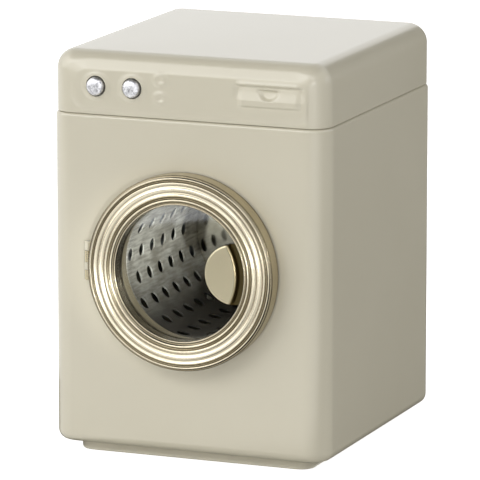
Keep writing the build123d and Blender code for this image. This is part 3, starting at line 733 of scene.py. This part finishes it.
# --- Drum ----------------------------------------------------------------------------------------
def make_drum():
    front_y, rear_y = drum_low.y / MM, drum_high.y / MM
    count = 36
    outline = [(drum_radius, front_y + (rear_y - front_y) * step / count) for step in range(count + 1)]
    outline += [(drum_radius + drum_sheet, rear_y - (rear_y - front_y) * step / count) for step in range(count + 1)]
    drum = turned("perforated_drum", outline, 0, door_height, 144)
    two_rows = []
    for row in range(2):
        angle = radians(first_row_angle + row * 360 / hole_rows)
        away = Vector((cos(angle), 0, sin(angle)))
        y = front_y + first_hole + row * hole_pitch / 2
        while y <= end_low.y / MM - 3:
            bpy.ops.object.select_all(action="DESELECT")
            bpy.ops.mesh.primitive_cylinder_add(
                vertices=24, radius=hole_radius * MM, depth=4 * MM, rotation=away.to_track_quat("Z", "Y").to_euler(),
                location=(away * drum_radius + Vector((0, y, door_height))) * MM)
            two_rows.append(bpy.context.object)
            y += hole_pitch
    join(two_rows[0], two_rows[1:])
    punches = [two_rows[0]]
    for pair in range(1, hole_rows // 2):
        select_only(punches[0])
        bpy.ops.object.duplicate()
        bpy.ops.object.mode_set(mode="EDIT")
        bpy.ops.mesh.select_all(action="SELECT")
        bpy.ops.transform.rotate(value=4 * pi / hole_rows * pair, orient_axis="Y",
                                 center_override=(0, 0, door_height * MM))
        done()
        punches.append(bpy.context.object)
    join(punches[0], punches[1:])
    combine(drum, punches[0], "DIFFERENCE")
    apply_modifier(drum, "BEVEL", width=0.1 * MM, segments=2, limit_method="ANGLE", angle_limit=radians(60))
    smooth(drum, 35)
    return drum


def make_drum_end():
    front_y, rear_y = end_low.y / MM, end_high.y / MM
    rim = drum_radius - 0.05
    outline = [(2.05, front_y), (rim - 1.2, front_y)] + arc((rim - 1.2, front_y + 1.2), 1.2, -90, 0, 6)
    outline += [(rim, rear_y), (rim - 0.6, rear_y), (rim - 0.6, front_y + 1.2), (rim - 1.2, front_y + 0.6),
                (2.05, front_y + 0.6)]
    end = turned("polished_drum_end", outline, 0, door_height)
    smooth(end)
    return end


place(make_drum(), "drum", drum_steel, "bare_steel", "drum_wall")
place(make_drum_end(), "drum", end_steel, "bare_steel", "drum_back")


# --- Dials and screws ----------------------------------------------------------------------------
def make_dial(node, x):
    low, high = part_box(node)
    crown_y, rear_y = low.y / MM, high.y / MM
    seat_y = crown_y + 1.3
    outline = [(0, crown_y)]
    for step in range(1, 10):
        angle = pi / 2 * step / 9
        outline.append((knob_radius * sin(angle) ** 0.9, seat_y - 1.3 * cos(angle)))
    outline += [(knob_radius, crown_y + 3.85), (1.0, crown_y + 3.85), (1.0, rear_y), (0, rear_y)]
    dial = turned(node + "_dome", outline, x, knob_z, 64)
    smooth(dial, 50, weighted=False)
    return dial


for side, dial_x in zip(("left", "right"), knob_places):
    place(make_dial(side + "_knob", dial_x), side + "_dial", foil, "silver_knob", side + "_knob")


def make_screw(number, x, z):
    """Slotted pan-head screw in the back panel."""
    head_y = screws_high.y / MM
    shank_y = screws_low.y / MM
    outline = [(0, head_y), (0.9, head_y - 0.05), (1.4, head_y - 0.25), (1.7, back + 0.1), (1.7, back),
               (0.75, back), (0.75, shank_y + 0.6), (0, shank_y)]
    screw = turned("back_screw_" + str(number), outline, x, z, 32)
    slot = block("slot_cutter", (x - 2, head_y - 0.4, z - 0.22), (x + 2, head_y + 1, z + 0.22))
    combine(screw, slot, "DIFFERENCE")
    smooth(screw)
    return screw


screw_in = 2.5
screw_spots = [(x, z) for x in (panel_low.x / MM + screw_in, panel_high.x / MM - screw_in)
               for z in (panel_low.z / MM + screw_in, panel_high.z / MM - screw_in)]
for number, (x, z) in enumerate(screw_spots, 1):
    place(make_screw(number, x, z), "cabinet", zinc, "plated_steel", "back_screws")


# --- Finishes of the CAD nodes that stay ---------------------------------------------------------
finishes = {
    "back_panel": enamel, "hinge_leaf_cabinet": enamel,
    "hinge_leaf_door": ring_lacquer_painted_shade, "window_pane": acrylic,
    "drum_bridge": zinc, "knob_bracket": zinc, "magnet_cup": zinc, "hinge_pin": zinc, "leaf_rivets": zinc,
    "drum_axle": zinc, "axle_clip": zinc, "left_knob_retainer": zinc, "right_knob_retainer": zinc,
    "drum_bush": nylon, "axle_spacer": nylon, "left_knob_washer": nylon, "right_knob_washer": nylon,
    "catch_magnet": ferrite,
}
for name, material in finishes.items():
    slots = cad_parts[name].data.materials
    slots.clear()
    slots.append(material)


# --- Floor, light and camera ---------------------------------------------------------------------
def seen_rays(tree):
    """1 for camera, glossy and transmission rays, which see the white studio, and 0 for the rest."""
    path = add(tree, "ShaderNodeLightPath").outputs
    seen = add(tree, "ShaderNodeMath", {0: path["Is Camera Ray"], 1: path["Is Glossy Ray"]}, operation="MAXIMUM")
    both = add(tree, "ShaderNodeMath", {0: seen.outputs["Value"], 1: path["Is Transmission Ray"]},
               operation="MAXIMUM")
    return both.outputs["Value"]


def make_floor():
    bpy.ops.object.select_all(action="DESELECT")
    bpy.ops.mesh.primitive_plane_add(size=12)
    floor = bpy.context.object
    floor.name = "studio_floor"
    material, tree, output = new_material("white_studio_paper")
    paper = add(tree, "ShaderNodeBsdfDiffuse", {"Color": colour("#ececeb")})
    path = add(tree, "ShaderNodeLightPath").outputs
    less = add(tree, "ShaderNodeMath", {0: path["Is Glossy Ray"], 1: -0.2}, operation="MULTIPLY")
    lift = add(tree, "ShaderNodeMath", {0: seen_rays(tree), 1: 0.85, 2: less.outputs["Value"]},
               operation="MULTIPLY_ADD")
    glow = add(tree, "ShaderNodeEmission", {"Color": colour("#ffffff"), "Strength": lift.outputs["Value"]})
    both = add(tree, "ShaderNodeAddShader", {0: paper.outputs["BSDF"], 1: glow.outputs["Emission"]})
    tree.links.new(both.outputs["Shader"], output.inputs["Surface"])
    floor.data.materials.append(material)


def make_world():
    world = bpy.data.worlds.new("white_studio")
    bpy.context.scene.world = world
    world.use_nodes = True
    tree = world.node_tree
    tree.nodes.clear()
    level = add(tree, "ShaderNodeMapRange", {"Value": seen_rays(tree), "To Min": 0.28, "To Max": 1.0})
    sky = add(tree, "ShaderNodeBackground", {"Color": colour("#ffffff"), "Strength": level.outputs["Result"]})
    add(tree, "ShaderNodeOutputWorld", {"Surface": sky.outputs["Background"]})


def make_lamp(name, azimuth, elevation, distance, width, height, strength):
    """A soft box aimed at the machine's middle. Its strength is that of its face, where 1 is white."""
    light = bpy.data.lights.new(name, "AREA")
    light.shape = "RECTANGLE"
    light.size, light.size_y = width, height
    light.energy = strength * pi * width * height
    lamp = bpy.data.objects.new(name, light)
    bpy.context.scene.collection.objects.link(lamp)
    a, e = radians(azimuth), radians(elevation)
    away = Vector((sin(a) * cos(e), -cos(a) * cos(e), sin(e)))
    lamp.location = Vector((0, 0, 0.06)) + away * distance
    lamp.rotation_euler = away.to_track_quat("Z", "Y").to_euler()
    lamp.visible_camera = False
    return lamp


def make_window_spot():
    """A snooted spot low at the front right, whose beam is as wide as the window and lights the drum's wall."""
    light = bpy.data.lights.new("window_spot", "SPOT")
    beam, azimuth, distance = radians(2.3), radians(29), 1.1
    light.spot_size, light.spot_blend = beam, 0.6
    light.shadow_soft_size = 0.015
    light.energy = 52
    spot = bpy.data.objects.new("window_spot", light)
    bpy.context.scene.collection.objects.link(spot)
    away = Vector((sin(azimuth), -cos(azimuth), 0))
    spot.location = Vector((-7, front, door_height - 1)) * MM + away * distance
    spot.rotation_euler = away.to_track_quat("Z", "Y").to_euler()
    spot.visible_camera = False


def make_low_strip():
    """A slim lit tube low at the front left, seen again as the pale zone at the top of the window."""
    light = bpy.data.lights.new("low_strip", "AREA")
    light.shape = "RECTANGLE"
    light.size, light.size_y = 0.06, 0.008
    light.energy = 3.2 * pi * light.size * light.size_y
    lamp = bpy.data.objects.new("low_strip", light)
    bpy.context.scene.collection.objects.link(lamp)
    lamp.location = (-0.141, -0.3945, 0.0045)
    lamp.rotation_euler = Vector((-0.765, -0.644, 0)).to_track_quat("Z", "Y").to_euler()
    lamp.visible_camera = False


def make_dark_cards():
    """Black cards round the machine, which only glossy surfaces see: one far out on the floor, one under the
    window's mirror image, two at the right rear and one overhead. They give enamel, metal and window their
    darker tones."""
    material, tree, output = new_material("black_card_paper")
    paper = add(tree, "ShaderNodeBsdfDiffuse", {"Color": colour("#161616")})
    tree.links.new(paper.outputs["BSDF"], output.inputs["Surface"])
    mirrored = radians(21.9)
    for name, place_at, size, turn in (
            ("window_card", (-0.112, -0.327, 0.001), (0.046, 0.27), (0, 0, -mirrored)),
            ("far_card", (-0.343, -0.901, 0.001), (2.0, 1.0), (0, 0, -mirrored)),
            ("side_card", (0.4, 0.1, 0.001), (0.9, 0.6), (0, 0, -mirrored)),
            ("rear_card", (0.4, 0.33, 0.2), (0.8, 0.4), (pi / 2, 0, -mirrored)),
            ("high_card", (-0.05, -0.1, 0.9), (0.9, 0.9), (0, 0, 0))):
        bpy.ops.object.select_all(action="DESELECT")
        bpy.ops.mesh.primitive_plane_add(size=1, location=place_at, rotation=turn)
        card = bpy.context.object
        card.name = name
        card.scale = (*size, 1)
        card.data.materials.append(material)
        card.visible_camera = card.visible_diffuse = card.visible_shadow = card.visible_transmission = False


def make_camera():
    """The photograph's viewpoint: a long lens, low over the front right of the machine."""
    azimuth, elevation = radians(21.907), radians(11.534)
    distance, focal = 1.561389, 376.84
    backwards = Vector((sin(azimuth) * cos(elevation), -cos(azimuth) * cos(elevation), sin(elevation)))
    right = Vector((cos(azimuth), sin(azimuth), 0))
    up = backwards.cross(right)
    aim = Vector((0, 0, 0.06)) - right * 1.576 * MM + up * 0.458 * MM
    data = bpy.data.cameras.new("camera")
    data.lens, data.sensor_width = focal, 36
    data.clip_start, data.clip_end = 0.05, 50
    camera = bpy.data.objects.new("camera", data)
    bpy.context.scene.collection.objects.link(camera)
    turn = Matrix((right, up, backwards)).transposed().to_4x4()
    camera.matrix_world = Matrix.Translation(aim + backwards * distance) @ turn
    bpy.context.scene.camera = camera


make_floor()
make_world()
make_lamp("key_softbox", -50, 27, 1.2, 1.6, 1.0, 1.45)
make_lamp("bank_softbox", -10, 40, 1.3, 1.8, 0.45, 2.0)
make_lamp("low_softbox", 29, 5, 1.1, 0.4, 0.45, 3.5)
make_lamp("side_softbox", 122, 15, 1.2, 0.9, 0.6, 2.8)
make_lamp("back_softbox", -158, 11.5, 1.6, 1.4, 0.8, 0.3)
make_window_spot()
make_low_strip()
make_dark_cards()
make_camera()
bpy.context.scene.view_settings.view_transform = "Standard"
